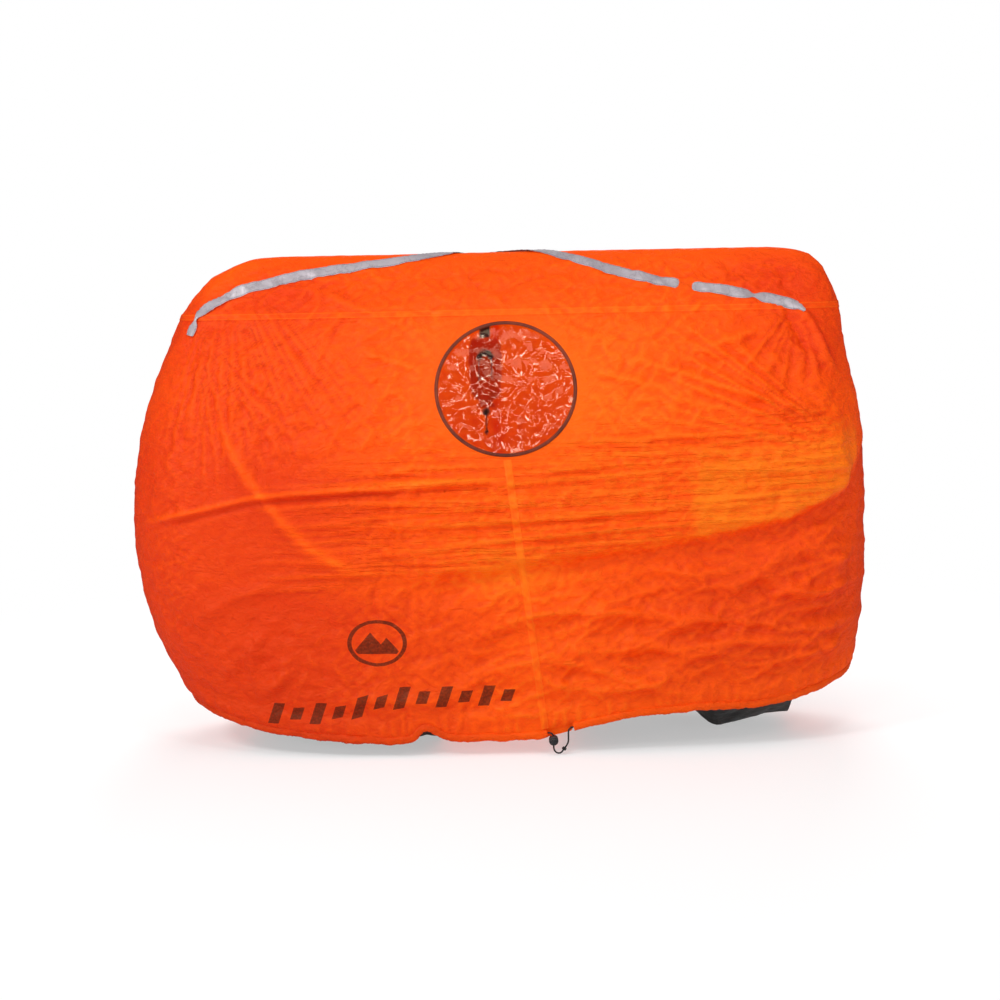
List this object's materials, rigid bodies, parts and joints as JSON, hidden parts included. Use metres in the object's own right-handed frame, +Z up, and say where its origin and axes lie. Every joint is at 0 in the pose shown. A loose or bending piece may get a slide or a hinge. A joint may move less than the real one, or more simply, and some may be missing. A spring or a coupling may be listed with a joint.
{
  "type": "emergency shelter sack",
  "caption": "Emergency shelter sack of thin orange nylon, open at the bottom, with a round clear window, reflective tapes, drawcord hem, sling seats and a hanging stowage sack.",
  "frame": {"origin": "Middle of the base, on the ground under the canopy's centre.", "axes": "+Z up, +X along the long side to the right as seen from the front, +Y to the rear; the front with the window faces -Y."},
  "size_m": [1.384, 0.4928, 0.9146],
  "materials": {
    "shelter_nylon": "satin",
    "sack_nylon": "satin",
    "clear_vinyl": "gloss",
    "window_binding": "matte",
    "reflective_tape": "satin",
    "black_cord": "matte",
    "lock_plastic": "satin",
    "spring_steel": "polished",
    "seat_cloth": "matte",
    "seat_binding": "matte",
    "grey_webbing": "matte"
  },
  "bodies": {
    "shelter": {"wall_left": "shelter_nylon", "wall_right": "shelter_nylon", "roof_panel": "shelter_nylon", "front_seam_tape": "shelter_nylon", "rear_seam_tape": "shelter_nylon", "roof_seam_tape": "shelter_nylon", "window_pane": "clear_vinyl", "window_binding": "window_binding", "reflective_tape_left": "reflective_tape", "reflective_tape_right": "reflective_tape", "hem_tunnel": "shelter_nylon", "drawcord": "black_cord", "drawcord_loop": "black_cord", "drawcord_knot": "black_cord", "seat_left": "seat_cloth", "seat_right": "seat_cloth", "seat_left_binding": "seat_binding", "seat_right_binding": "seat_binding", "roof_hanger": "grey_webbing"},
    "cord_lock": {"cord_lock_body": "lock_plastic", "cord_lock_spring": "spring_steel"},
    "cord_lock_button": {"cord_lock_plunger": "lock_plastic"},
    "sack": {"sack_strap": "grey_webbing", "stuff_sack": "sack_nylon", "sack_handle": "grey_webbing", "sack_cord": "black_cord", "sack_cord_knot": "black_cord"},
    "sack_lock": {"sack_lock_body": "lock_plastic", "sack_lock_spring": "spring_steel"},
    "sack_lock_button": {"sack_lock_plunger": "lock_plastic"}
  },
  "joints": [
    {"name": "cord_lock_slide", "type": "slide", "parent": "shelter", "child": "cord_lock", "axis": [0, 0, -1], "range_m": [0, 0.006]},
    {"name": "cord_lock_press", "type": "slide", "parent": "cord_lock", "child": "cord_lock_button", "axis": [0, 1, 0], "range_m": [0, 0.0035], "stiffness_N_per_m": 200, "springref_m": -0.001, "deforming": ["cord_lock_spring"]},
    {"name": "sack_swing", "type": "hinge", "parent": "shelter", "child": "sack", "pos_m": [-0.021, 0, 0.8962], "axis": [1, 0, 0], "range_deg": [-35, 35]},
    {"name": "sack_lock_slide", "type": "slide", "parent": "sack", "child": "sack_lock", "axis": [0, 0, -1], "range_m": [0, 0.014]},
    {"name": "sack_lock_press", "type": "slide", "parent": "sack_lock", "child": "sack_lock_button", "axis": [0, 1, 0], "range_m": [0, 0.003], "stiffness_N_per_m": 150, "springref_m": -0.001, "deforming": ["sack_lock_spring"]}
  ]
}
